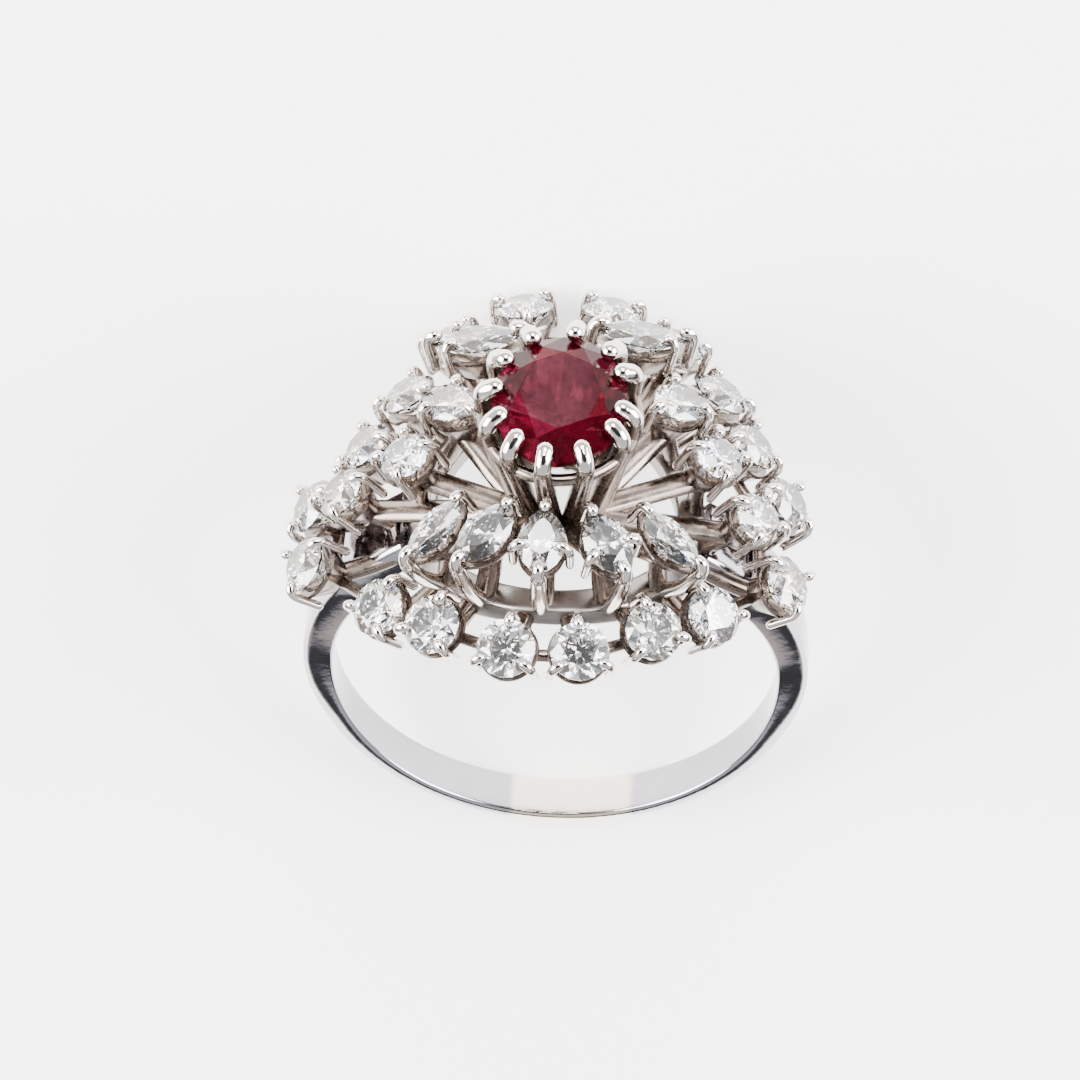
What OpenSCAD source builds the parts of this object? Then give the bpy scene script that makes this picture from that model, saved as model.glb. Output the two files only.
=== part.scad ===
// Cluster ring in white gold: an oval ruby held high in a basket of twelve wires,
// inside two tiers of small clear stones on an openwork dome.
// The ring is worked out upright, finger hole along Y and head towards +Z, and is then
// laid on its back side by laid(). The origin is the middle of the finger hole.

/* [Shank] */
// Diameter of the finger hole
hole_d = 17; // [15:0.1:18]
// Thickness of the shank from the hole to the outer face
shank_wall = 1.15; // [1.1:0.05:1.5]
// Width of the shank at the bottom
shank_bottom_w = 1.9; // [1.6:0.1:2.6]
// Depth under the middle of the hole at which the shoulders' flat sides start inside it
shoulder_start = 6; // [5:0.5:8]
// Width of its flat sides at the shoulders
shoulder_w = 3.0; // [2.4:0.1:3.4]

/* [Base gallery] */
// Outer radius of the base gallery ring, seen from above
gallery_r = 5.7; // [5.5:0.1:6]
// Width of its rim
gallery_rim = 0.85; // [0.6:0.05:1.2]
// Height of its wall over the finger hole
gallery_h = 0.95; // [0.8:0.05:1.2]
// Outer radius of the hub ring under the ruby
hub_r = 1.95; // [1.7:0.05:2.2]
// Height of the hub ring's middle over the middle of the finger hole
hub_z = 9.7; // [9.4:0.1:10.4]

/* [Ruby] */
// Width of the ruby across the finger
ruby_w = 5.2; // [4.6:0.1:5.4]
// Length of the ruby along the finger
ruby_l = 6.3; // [5.6:0.1:6.6]
// Height of its girdle over the middle of the finger hole
ruby_z = 14.9; // [14.4:0.1:15.4]

/* [Small stones] */
// Diameter of the round stones of the outer tier
outer_d = 2.25; // [2:0.05:2.3]
// Height of the outer tier at the middle of the finger
outer_z = 10.35; // [10.2:0.05:10.8]
// Height of the inner tier at the middle of the finger
inner_z = 12.9; // [12.4:0.1:13.4]

/* [Wires] */
// Radius of the wire of the small prongs
prong_r = 0.19; // [0.16:0.01:0.22]
// Radius of the bead at the tip of a small prong
bead_r = 0.25; // [0.22:0.01:0.26]
// Radius of the wire of the spokes and ribs
spoke_r = 0.32; // [0.26:0.02:0.4]
// Radius of the wire of the ruby's prongs
ruby_wire_r = 0.28; // [0.24:0.01:0.3]
// Radius of the bead at the tip of a ruby prong
ruby_bead_r = 0.38; // [0.32:0.01:0.42]
// Clear gap between a stone and the metal that holds it
seat_gap = 0.04; // [0.03:0.01:0.08]

/* [Resting] */
// Angle by which the head leans up from the surface, lying on the back side
lie_tilt = 25.3; // [18:0.1:28]
// Small roll to one side that brings every foot down to the surface
lie_roll = 0; // [-4:0.1:4]

/* [Hidden] */
// Outer tier, anticlockwise seen from above: azimuth from the front of the finger, reach
OUTER = [
    [9, 8.4], [31, 7.8], [51, 8.0], [77, 9.1], [102, 8.9], [118, 8.2],
    [134, 8.3], [151, 8.6], [169, 8.7], [191, 8.7], [210, 8.5], [229, 7.8],
    [247, 8.0], [263, 9.4], [280, 9.6], [309, 8.3], [327, 8.0], [350, 8.4]
];
// Inner tier: form, azimuth, reach, turn in its own plane, length, width
INNER = [
    ["pear", 357, 5.1, 0, 2.7, 1.85],
    ["pear", 24, 5.3, 8, 2.7, 1.85],
    ["marquise", 50, 5.9, 4, 2.9, 1.45],
    ["round", 85, 7.7, 0, 2.1, 2.1],
    ["round", 101, 6.2, 0, 2.1, 2.1],
    ["pear", 123, 5.4, 10, 2.7, 1.95],
    ["marquise", 152, 6.4, -50, 3.5, 1.8],
    ["marquise", 212, 6.1, 50, 3.5, 1.8],
    ["pear", 241, 4.7, -12, 2.7, 1.85],
    ["round", 266, 5.75, 0, 2.1, 2.1],
    ["round", 269, 8.15, 0, 2.1, 2.1],
    ["marquise", 311, 5.8, 4, 2.9, 1.45],
    ["marquise", 332, 5.2, -12, 2.9, 1.8]
];
// Azimuths of the ruby's wire prongs, which are not quite even
RUBY_PRONGS = [19, 51, 73, 115, 140, 172, 204, 235, 268, 300, 327, 352];

hole_r = hole_d / 2;
shank_r = hole_r + shank_wall;
// Rise of the shank's outer circle, height of the shoulders and drop of their outer edges
shank_rise = 0.17;
shoulder_z = 5;
shoulder_edge = 0.25;
// Where the shank ends at each side, inside the wall of the base gallery ring
shank_end = gallery_r - gallery_rim / 2;
// How fast each tier droops towards the sides of the finger, per mm squared
outer_droop = 0.04;
inner_droop = 0.06;
// The stones face away from the finger; along the finger they lean this much less
facing = 0.72;
// Proportions of a cut stone, as parts of its width
table_part = 0.56;
crown_part = 0.16;
girdle_part = 0.04;
pavilion_part = 0.42;
stone_sides = 16;
ruby_sides = 24;
// Inner stones nearer than this reach, and this far in azimuth from the back, have a long wire
front_reach = 6.1;
front_angle = 120;
long_wire_r = 0.27;
// How far inside the gallery's outer face the inner stones' struts and the long wires stand
strut_inset = 0.55;
long_wire_inset = 0.25;
// Depth of a setting's foot under the girdle
foot_depth = 1.35;
// The cup round a stone's pavilion: parts of the girdle's radius, and depths under the girdle
CUP = [[0, 1.5], [0.6, 1.5], [1.12, 0.55], [0.8, 0.55], [0.3, 1.15], [0, 1.15]];
// Heights over the girdle of the top and the bottom of a prong's straight post
post_top = 0.2;
post_low = -1;
// Place of the bead over the edge of the crown: outward from the girdle, and up
bead_out = 0.1;
bead_up = 0.33;
// Where a prong's arm starts, as a part of the way out to its post
arm_part = 0.3;
// How much wider than its wires the bead at an elbow is
elbow = 0.03;
// The ribs of the side stones fan out from the front of the hub: by this angle at the sides
rib_fan = 40;
// Radius of the rail under the outer tier, which joins the feet of its settings
rail_r = 0.24;
// Radius of the cross wires half way up the ruby's basket
ruby_cross_r = 0.17;

// Vectors
function unit(v) = v / norm(v);
function spot(azimuth, reach, z) = [reach * sin(azimuth), -reach * cos(azimuth), z];
function over_finger(x, r) = sqrt(r * r - x * x);

// Seat of a stone: [middle, up from the stone, outward in its plane, sideways in its plane]
function seat(c, heading) =
    let (
        up = unit([c[0], facing * c[1], c[2]]),
        plan = [sin(heading), -cos(heading), 0],
        out = unit(plan - (plan * up) * up)
    )
    [c, up, out, cross(up, out)];
function at(s, along, side, up) = s[0] + along * s[2] + side * s[3] + up * s[1];

function outer_seat(row) =
    let (x = row[1] * sin(row[0]))
    seat(spot(row[0], row[1], outer_z - outer_droop * x * x), row[0]);
function inner_seat(row) =
    let (x = row[2] * sin(row[1]))
    seat(spot(row[1], row[2], inner_z - inner_droop * x * x), row[1] + row[3]);
ruby_seat = [[0.15, 0, ruby_z], [0, 0, 1], [0, -1, 0], [1, 0, 0]];

// Outlines of the girdles, pointed forms with their points on the long axis
function oval_at(a, length, width) = [length / 2 * cos(a), width / 2 * sin(a)];
function marquise_at(a, length, width) =
    [length / 2 * cos(a), width / 2 * sign(sin(a)) * pow(abs(sin(a)), 1.45)];
// The pear is an oval at its outer end and draws in to a point at its inner end
function pear_at(a, length, width) =
    let (slim = cos(a) < 0 ? 1 - 0.55 * pow(-cos(a), 2) : 1)
    [length / 2 * cos(a), width / 2 * sin(a) * slim];
function girdle_at(form, a, length, width) =
    form == "marquise" ? marquise_at(a, length, width) :
    form == "pear" ? pear_at(a, length, width) : oval_at(a, length, width);
function outline(form, length, width, n) =
    [for (i = [0 : n - 1]) girdle_at(form, 360 * i / n, length, width)];

// A cut stone: table, crown, girdle and pavilion, each a ring of flat facets
module cut_stone(s, form, length, width, n) {
    ring = outline(form, length, width, n);
    half = girdle_part * width / 2;
    top = half + crown_part * width;
    tip = -half - pavilion_part * width;
    levels = [[-half, 1], [half, 1], [top, table_part]];
    points = concat(
        [for (v = levels) for (p = ring) at(s, p[0] * v[1], p[1] * v[1], v[0])],
        [at(s, 0, 0, tip)]
    );
    sides = [for (k = [0, 1]) for (i = [0 : n - 1]) let (j = (i + 1) % n)
        [k * n + i, (k + 1) * n + i, (k + 1) * n + j, k * n + j]];
    culet = [for (i = [0 : n - 1]) [i, (i + 1) % n, 3 * n]];
    table = [[for (i = [n - 1 : -1 : 0]) 2 * n + i]];
    polyhedron(points, concat(sides, culet, table));
}

module wire(a, b, r) {
    d = b - a;
    translate(a)
        rotate([0, acos(d[2] / norm(d)), atan2(d[1], d[0])])
            cylinder(h = norm(d), r = r, $fn = 14);
}

module bead(p, r) {
    translate(p) sphere(r = r, $fn = 14);
}

// A prong stands upright beside the girdle at its point p, and its bead leans over the edge
// of the crown. An arm from the foot of the setting carries a prong that the cup can't reach.
function post_at(s, p, height) =
    let (g = p + (seat_gap + prong_r) * unit(p))
    at(s, g[0], g[1], height);
module prong(s, p, arm) {
    g = p + bead_out * unit(p);
    wire(post_at(s, p, arm ? post_low / 2 : post_low), post_at(s, p, post_top), prong_r);
    bead(at(s, g[0], g[1], bead_up), bead_r);
    if (arm) {
        wire(at(s, arm_part * p[0], arm_part * p[1], -foot_depth), post_at(s, p, post_low / 2), prong_r);
        bead(post_at(s, p, post_low / 2), prong_r + elbow);
    }
}

// The cup that a stone's pavilion hangs in and its prongs stand on
module cup(s, width) {
    translate(s[0])
        rotate([0, acos(s[1][2]), atan2(s[1][1], s[1][0])])
            rotate_extrude($fn = 24)
                polygon([for (v = CUP) [v[0] * width / 2, -v[1]]]);
}

// Half-round at the bottom, and flat-sided where it widens into the shoulders. Its outer
// circle sits a little higher than the hole, so that it is thinnest at the bottom.
module shank() {
    flat_top = 20;
    rim = shank_r - shoulder_edge;
    crease = shoulder_w * 0.36;
    crest = shank_r - 0.02;
    translate([0, 0, shank_rise])
        rotate([90, 0, 0])
            rotate_extrude($fn = 96)
                polygon(concat(
                    [[hole_r - 1, -shank_bottom_w / 2]],
                    [for (a = [-90, -60, -40, -flat_top, flat_top, 40, 60, 90])
                        [hole_r + shank_wall * cos(a) / cos(flat_top), shank_bottom_w / 2 * sin(a)]],
                    [[hole_r - 1, shank_bottom_w / 2]]
                ));
    intersection() {
        translate([0, 0, shank_rise])
            rotate([90, 0, 0])
                rotate_extrude($fn = 96)
                    polygon([
                        [hole_r - 0.6, -shoulder_w], [rim, -shoulder_w], [rim, -crease], [crest, 0],
                        [rim, crease], [rim, shoulder_w], [hole_r - 0.6, shoulder_w]
                    ]);
        rotate([90, 0, 90])
            linear_extrude(2 * shank_r + 2, center = true)
                polygon([
                    [0, -shoulder_start], [shoulder_w / 2, shoulder_z], [shoulder_w / 2, shank_r],
                    [-shoulder_w / 2, shank_r], [-shoulder_w / 2, shoulder_z]
                ]);
    }
}

// The base gallery ring lies on the finger like a saddle
module gallery_ring() {
    intersection() {
        linear_extrude(shank_r + gallery_h) difference() {
            circle(r = gallery_r, $fn = 96);
            circle(r = gallery_r - gallery_rim, $fn = 96);
        }
        rotate([90, 0, 0])
            cylinder(h = 4 * gallery_r, r = hole_r + gallery_h, center = true, $fn = 96);
    }
}

module finger() {
    rotate([90, 0, 0]) cylinder(h = 6 * gallery_r, r = hole_r, center = true, $fn = 96);
}

function gallery_point(azimuth, reach) =
    let (x = reach * sin(azimuth))
    [x, -reach * cos(azimuth), over_finger(x, hole_r + gallery_h / 2)];

module outer_setting(row) {
    s = outer_seat(row);
    wire(gallery_point(row[0], gallery_r - gallery_rim / 2), at(s, 0, 0, -foot_depth), spoke_r);
    cup(s, outer_d);
    for (a = [50, 180, 310])
        prong(s, girdle_at("round", a, outer_d, outer_d), false);
}

// The rail under a tier is a closed chain of wires from foot to foot. Neighbours differ a
// little in radius, because equal wires would touch in a single point on their skins.
module rail(feet) {
    for (i = [0 : len(feet) - 1])
        wire(feet[i], feet[(i + 1) % len(feet)], i % 2 == 0 ? rail_r : 0.9 * rail_r);
}

module inner_setting(row) {
    s = inner_seat(row);
    foot = at(s, 0, 0, -foot_depth);
    angles = row[0] == "marquise" ? [0, 180] : row[0] == "pear" ? [0, 70, 180, 290] : [0, 90, 180, 270];
    cup(s, row[5]);
    wire(gallery_point(row[1], gallery_r - strut_inset), foot, 0.95 * spoke_r);
    wire(spot(row[1] - rib_fan * sin(row[1]), hub_r - 0.3, hub_z), foot, 0.9 * spoke_r);
    for (a = angles)
        prong(s, girdle_at(row[0], a, row[4], row[5]), row[0] != "round");
    if (row[2] < front_reach && abs(180 - row[1]) > front_angle) {
        top = post_at(s, girdle_at(row[0], 0, row[4], row[5]), post_low / 2);
        wire(gallery_point(row[1], gallery_r - long_wire_inset), top, long_wire_r);
        bead(top, long_wire_r + elbow);
    }
}

// The ruby's outline at an azimuth, with the bead beside it and the wire's foot on the hub
function ruby_wire_top(azimuth) =
    let (
        a = atan2(ruby_l * sin(azimuth), ruby_w * cos(azimuth)),
        p = oval_at(a, ruby_l, ruby_w),
        off = ruby_bead_r + 2 * seat_gap
    )
    at(ruby_seat, p[0] + off * cos(a), p[1] + off * sin(a), 0.3);
function ruby_wire_foot(azimuth) = spot(azimuth, hub_r - 0.35, hub_z);
function ruby_wire_middle(azimuth) = (ruby_wire_top(azimuth) + ruby_wire_foot(azimuth)) / 2;

module ruby_basket() {
    translate([0, 0, hub_z - 0.35]) difference() {
        cylinder(h = 0.7, r = hub_r, $fn = 48);
        translate([0, 0, -1]) cylinder(h = 3, r = hub_r - 0.7, $fn = 48);
    }
    for (i = [0 : len(RUBY_PRONGS) - 1]) {
        azimuth = RUBY_PRONGS[i];
        next = RUBY_PRONGS[(i + 1) % len(RUBY_PRONGS)];
        wire(ruby_wire_foot(azimuth), ruby_wire_top(azimuth), ruby_wire_r);
        bead(ruby_wire_top(azimuth), ruby_bead_r);
        wire(ruby_wire_middle(azimuth), ruby_wire_middle(next), ruby_cross_r);
    }
}

module laid() {
    rotate([0, lie_roll, 0]) rotate([lie_tilt - 90, 0, 0]) children();
}

module ring_mount() color("silver") laid() {
    difference() {
        union() {
            difference() {
                shank();
                translate([-shank_end, -shoulder_w, 0])
                    cube([2 * shank_end, 2 * shoulder_w, 2 * shank_r]);
            }
            gallery_ring();
        }
        finger();
    }
    for (row = OUTER) outer_setting(row);
    for (row = INNER) inner_setting(row);
    rail([for (row = OUTER) at(outer_seat(row), 0, 0, -foot_depth)]);
    ruby_basket();
}

module ruby() color("crimson") laid()
    cut_stone(ruby_seat, "oval", ruby_l, ruby_w, ruby_sides);

module outer_stone(row) color("white") laid()
    cut_stone(outer_seat(row), "round", outer_d, outer_d, stone_sides);

module inner_stone(row) color("white") laid()
    cut_stone(inner_seat(row), row[0], row[4], row[5], stone_sides);

ring_mount();
ruby();
for (i = [1 : len(OUTER)])
    outer_stone(OUTER[i - 1]);
for (i = [1 : len(INNER)])
    inner_stone(INNER[i - 1]);
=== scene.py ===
# %% [markdown]
# # A cluster ring in white gold
# The ring lies on its side on a pale floor. Its solids come from the CAD model, which is
# loaded first and never moved. Every visible piece is then built round them: the polished
# shank, the openwork head with its claws, the oval ruby and the small clear stones.

# %% Load the CAD model
import bmesh
import bpy
import numpy as np
from mathutils import Matrix, Vector


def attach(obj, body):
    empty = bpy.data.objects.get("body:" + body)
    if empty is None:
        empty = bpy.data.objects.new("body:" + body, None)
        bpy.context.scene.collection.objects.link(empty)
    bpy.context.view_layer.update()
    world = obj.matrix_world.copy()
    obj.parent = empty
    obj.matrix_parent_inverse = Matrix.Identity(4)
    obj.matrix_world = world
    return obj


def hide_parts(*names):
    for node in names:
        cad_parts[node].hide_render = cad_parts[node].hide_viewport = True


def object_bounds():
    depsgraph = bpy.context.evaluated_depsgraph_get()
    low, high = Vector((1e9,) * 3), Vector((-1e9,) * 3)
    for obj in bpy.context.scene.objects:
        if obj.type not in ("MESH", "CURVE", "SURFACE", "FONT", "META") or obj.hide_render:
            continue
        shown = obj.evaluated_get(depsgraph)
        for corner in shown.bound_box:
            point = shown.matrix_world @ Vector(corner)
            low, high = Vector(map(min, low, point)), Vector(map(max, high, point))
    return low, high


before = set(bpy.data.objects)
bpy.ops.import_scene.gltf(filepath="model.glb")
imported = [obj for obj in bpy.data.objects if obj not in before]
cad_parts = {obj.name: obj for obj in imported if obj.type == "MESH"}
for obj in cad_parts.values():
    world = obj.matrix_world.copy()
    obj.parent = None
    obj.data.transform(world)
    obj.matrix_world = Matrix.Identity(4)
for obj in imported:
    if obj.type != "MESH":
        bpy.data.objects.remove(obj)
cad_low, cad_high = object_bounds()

print("nodes:", len(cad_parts))

# %% [markdown]
# ## Sizes
# The ring is worked out upright and in millimetres, with the finger hole along Y, the head
# towards +Z and the origin in the middle of the hole, just as a goldsmith would hold it.
# One turn about X then lays it down, and one factor makes the millimetres metres.

# %% The ring's sizes and how it lies
MM = 0.001
LIE_TILT = 25.3
HOLE_R = 8.5
SHANK_WALL = 1.15
SHANK_R = HOLE_R + SHANK_WALL
SHANK_RISE = 0.17
SHANK_HALF_W = 0.9
SHOULDER_HALF_W = 1.5
GALLERY_R = 5.7
GALLERY_RIM = 0.85
GALLERY_H = 0.95
HUB_Z = 9.7
HUB_R = 1.95
HUB_RING_R = 1.6
RUBY_W = 5.2
RUBY_L = 6.3
RUBY_X = 0.15
RUBY_Z = 14.9
OUTER_D = 2.25
OUTER_Z = 10.35
INNER_Z = 12.9
FACING = 0.72

# azimuth from the front of the finger, and reach, of the outer tier's round stones
OUTER = [
    (9, 8.4), (31, 7.8), (51, 8.0), (77, 9.1), (102, 8.9), (118, 8.2),
    (134, 8.3), (151, 8.6), (169, 8.7), (191, 8.7), (210, 8.5), (229, 7.8),
    (247, 8.0), (263, 9.4), (280, 9.6), (309, 8.3), (327, 8.0), (350, 8.4),
]
# form, azimuth, reach, turn in its own plane, length and width of the inner tier's stones
INNER = [
    ("pear", 357, 5.1, 0, 2.7, 1.85),
    ("pear", 24, 5.3, 8, 2.7, 1.85),
    ("marquise", 50, 5.9, 4, 2.9, 1.45),
    ("round", 85, 7.7, 0, 2.1, 2.1),
    ("round", 101, 6.2, 0, 2.1, 2.1),
    ("pear", 123, 5.4, 10, 2.7, 1.95),
    ("marquise", 152, 6.4, -50, 3.5, 1.8),
    ("marquise", 212, 6.1, 50, 3.5, 1.8),
    ("pear", 241, 4.7, -12, 2.7, 1.85),
    ("round", 266, 5.75, 0, 2.1, 2.1),
    ("round", 269, 8.15, 0, 2.1, 2.1),
    ("marquise", 311, 5.8, 4, 2.9, 1.45),
    ("marquise", 332, 5.2, -12, 2.9, 1.8),
]


def turn_x(degrees):
    """The matrix of a turn about X by so many degrees."""
    c, s = np.cos(np.radians(degrees)), np.sin(np.radians(degrees))
    return np.array([[1, 0, 0], [0, c, -s], [0, s, c]])


LAY = turn_x(LIE_TILT - 90)


def lay(points):
    """Upright millimetres to the ring's resting place in metres: one turn about X."""
    return np.asarray(points, float) @ LAY.T * MM


print("small stones:", len(OUTER), "outer,", len(INNER), "inner")

# %% [markdown]
# ## Camera
# The photograph looks at the upright ring from 50 degrees above and 3 degrees to one side,
# from far away, so that nothing narrows with distance. The same angle to the ring, laid
# down with it, is a camera high above the floor on the head's side, slightly rolled.

# %% Camera
VIEW_UP, VIEW_SIDE = np.radians([50.0, 3.0])
PIXELS_PER_MM = 26.2
FRAME_PIXELS = 1080
HOLE_AT = (556.0, 655.0)
DISTANCE_MM = 780.0
SENSOR_MM = 36.0

right = np.array([np.cos(VIEW_SIDE), np.sin(VIEW_SIDE), 0])
back = np.array([
    np.sin(VIEW_SIDE) * np.cos(VIEW_UP), -np.cos(VIEW_SIDE) * np.cos(VIEW_UP), np.sin(VIEW_UP)
])
above = np.cross(back, right)
from_middle_px = np.array([FRAME_PIXELS / 2 - HOLE_AT[0], HOLE_AT[1] - FRAME_PIXELS / 2])
aim = (from_middle_px[0] * right + from_middle_px[1] * above) / PIXELS_PER_MM
pose = np.eye(4)
pose[:3, :3] = LAY @ np.stack([right, above, back], 1)
pose[:3, 3] = lay(aim + DISTANCE_MM * back)

camera_data = bpy.data.cameras.new("camera")
camera_data.sensor_width = SENSOR_MM
camera_data.lens = SENSOR_MM * DISTANCE_MM * PIXELS_PER_MM / FRAME_PIXELS
camera_data.clip_start, camera_data.clip_end = 0.05, 10.0
camera = bpy.data.objects.new("camera", camera_data)
bpy.context.collection.objects.link(camera)
camera.matrix_world = Matrix(pose.tolist())
bpy.context.scene.camera = camera
print("camera lens mm:", round(camera_data.lens, 1))

# %% [markdown]
# ## Colours and nodes
# Colours are written as they look on a screen, and one function turns them to the linear
# light that the shaders count in. One small function adds a node with its settings.


# %% Colour and node helpers
def linear(code):
    """sRGB hex to linear: ((c + 0.055) / 1.055) to the power 2.4, and c / 12.92 near black."""
    c = np.array([int(code[i:i + 2], 16) for i in (1, 3, 5)]) / 255
    return (*np.where(c <= 0.04045, c / 12.92, ((c + 0.055) / 1.055) ** 2.4), 1.0)


def add(tree, kind, settings=None, links=None, **attributes):
    """Add a node, set its attributes and sockets by name or number, and link its inputs."""
    made = tree.nodes.new(kind)
    for key, value in attributes.items():
        setattr(made, key, value)
    for key, value in (settings or {}).items():
        made.inputs[key].default_value = value
    for key, source in (links or {}).items():
        tree.links.new(source, made.inputs[key])
    return made


def new_material(name, **settings):
    """A material with one Principled shader, and its tree and shader."""
    made = bpy.data.materials.new(name)
    made.use_nodes = True
    tree = made.node_tree
    shader = tree.nodes["Principled BSDF"]
    for key, value in settings.items():
        shader.inputs[key.replace("_", " ")].default_value = value
    return made, tree, shader


# %% [markdown]
# ## Floor
# Jewellery is photographed on a white sweep. Here it is one flat square, matt white round
# the ring and warm grey further out. The white part is also lit from below, like a light
# table, so that it stays near white without burning out the stones.

# %% Floor
FLOOR_HALF = 0.6
CARD_MIDDLE = (0.0, 0.002, 0.0)
CARD_R = 0.042
CARD_EDGE = 1.3
CARD_GLOW = 1.0

floor_mesh = bpy.data.meshes.new("floor")
floor_corners = [(-1, -1), (1, -1), (1, 1), (-1, 1)]
floor_mesh.from_pydata(
    [(x * FLOOR_HALF, y * FLOOR_HALF, cad_low.z) for x, y in floor_corners], [], [(0, 1, 2, 3)])
floor = bpy.data.objects.new("floor", floor_mesh)
bpy.context.collection.objects.link(floor)

# matt card: rough, and hardly any sheen, so it shows light and soft shadow alone
card_finish, card_tree, card_shader = new_material(
    "white_card", Roughness=0.9, Specular_IOR_Level=0.2, Emission_Color=(1.0, 1.0, 1.0, 1.0))
card_place = add(card_tree, "ShaderNodeTexCoord").outputs["Object"]
from_middle = add(card_tree, "ShaderNodeVectorMath", {1: CARD_MIDDLE}, {0: card_place},
                  operation="DISTANCE").outputs["Value"]
past_edge = add(card_tree, "ShaderNodeMapRange", {"From Min": CARD_R, "From Max": CARD_R * CARD_EDGE},
                {"Value": from_middle}, interpolation_type="SMOOTHSTEP").outputs["Result"]
card = add(card_tree, "ShaderNodeMix", {"A": linear("#fdfdfc"), "B": linear("#857c77")},
           {"Factor": past_edge}, data_type="RGBA")
glow = add(card_tree, "ShaderNodeMapRange", {"To Min": CARD_GLOW, "To Max": 0.0}, {"Value": past_edge})
card_tree.links.new(card.outputs["Result"], card_shader.inputs["Base Color"])
card_tree.links.new(glow.outputs["Result"], card_shader.inputs["Emission Strength"])
floor_mesh.materials.append(card_finish)
print("floor at mm:", round(cad_low.z / MM, 2))

# %% [markdown]
# ## Light
# Polished metal only looks like metal when it has both bright and dark to reflect. So the
# surroundings are a bright tent with two dark places, both fixed in the studio. A low strip
# on the shank's side of the table gives the shank its dark bands. A dark disc high above it,
# where a photographer and a lens shade would be, draws a thin dark line on every claw and
# gives the stones their dark specks. Three soft boxes add the highlights.

# %% Surroundings
STRIP_HEIGHT = 0.12
STRIP_HALF = 0.08
STRIP_EDGE = 2.2
STRIP_TONE = 0.1
SHADE_TOWARD = (0.03, 0.42, 0.91)
SHADE_COS = np.cos(np.radians([30.0, 24.0]))
SHADE_TONE = 0.04
TENT_STRENGTH = (1.2, 1.45)

world = bpy.data.worlds.new("studio")
world.use_nodes = True
bpy.context.scene.world = world
sky = world.node_tree
sky.nodes.clear()
toward = add(sky, "ShaderNodeTexCoord").outputs["Generated"]
lit_side = add(sky, "ShaderNodeVectorMath", {1: (0.0, 0.9, -0.35)}, {0: toward},
               operation="DOT_PRODUCT").outputs["Value"]
wash = add(sky, "ShaderNodeMapRange", {"From Min": -0.75, "From Max": 0.95},
           {"Value": lit_side}, interpolation_type="SMOOTHSTEP").outputs["Result"]
tone = add(sky, "ShaderNodeMix", {"A": linear("#eceef1"), "B": linear("#ffffff")},
           {"Factor": wash}, data_type="RGBA").outputs["Result"]
tent = add(sky, "ShaderNodeMapRange", {"To Min": TENT_STRENGTH[0], "To Max": TENT_STRENGTH[1]},
           {"Value": wash}).outputs["Result"]

# %% The dark strip and the dark disc
parts = add(sky, "ShaderNodeSeparateXYZ", {}, {"Vector": toward})
over_strip = add(sky, "ShaderNodeMath", {1: STRIP_HEIGHT}, {0: parts.outputs["Z"]},
                 operation="SUBTRACT").outputs["Value"]
off_strip = add(sky, "ShaderNodeMath", {}, {0: over_strip}, operation="ABSOLUTE").outputs["Value"]
beside_strip = add(
    sky, "ShaderNodeMapRange",
    {"From Min": STRIP_HALF, "From Max": STRIP_HALF * STRIP_EDGE, "To Min": STRIP_TONE},
    {"Value": off_strip}, interpolation_type="SMOOTHSTEP").outputs["Result"]
head_side = add(sky, "ShaderNodeMapRange", {"From Min": -0.25, "From Max": 0.15},
               {"Value": parts.outputs["Y"]}, interpolation_type="SMOOTHSTEP").outputs["Result"]
open_part = add(sky, "ShaderNodeMath", {}, {0: beside_strip, 1: head_side},
                operation="MAXIMUM").outputs["Value"]
shade_side = add(sky, "ShaderNodeVectorMath", {1: SHADE_TOWARD}, {0: toward},
                 operation="DOT_PRODUCT").outputs["Value"]
beside_shade = add(
    sky, "ShaderNodeMapRange",
    {"From Min": SHADE_COS[0], "From Max": SHADE_COS[1], "To Min": 1.0, "To Max": SHADE_TONE},
    {"Value": shade_side}, interpolation_type="SMOOTHSTEP").outputs["Result"]
shown = add(sky, "ShaderNodeMath", {}, {0: beside_shade, 1: open_part},
            operation="MULTIPLY").outputs["Value"]
strength = add(sky, "ShaderNodeMath", {}, {0: tent, 1: shown}, operation="MULTIPLY").outputs["Value"]
studio = add(sky, "ShaderNodeBackground", {}, {"Color": tone, "Strength": strength})
add(sky, "ShaderNodeOutputWorld", {}, {"Surface": studio.outputs["Background"]})
print("world nodes:", len(sky.nodes))


# %% Soft boxes
def softbox(name, place_m, size_m, radiance, colour="#ffffff"):
    """A square area light that faces the ring. Its power is radiance times pi times its area."""
    data = bpy.data.lights.new(name, "AREA")
    data.shape, data.size = "SQUARE", size_m
    data.energy = radiance * np.pi * size_m ** 2
    data.color = linear(colour)[:3]
    made = bpy.data.objects.new(name, data)
    bpy.context.collection.objects.link(made)
    made.location = place_m
    made.rotation_euler = (-Vector(place_m)).to_track_quat("-Z", "Y").to_euler()
    return made


softbox("left_box", (-0.42, 0.10, 0.26), 0.42, 24.0, "#fffaf4")
softbox("right_box", (0.44, 0.16, 0.24), 0.40, 24.0)
softbox("back_box", (0.03, 0.50, 0.30), 0.30, 16.0)
print("soft boxes: 3")

# %% [markdown]
# ## Meshes from numpy
# Three builders are enough for this ring. A grid of points becomes quads. A wire is a
# circle carried along a path, with round ends. A rail is a circle carried round a closed
# path. Curve objects with a bevel could do the same, but here every wire of a group is
# worked out at once, as one array, and its ends close as half balls.


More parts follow.
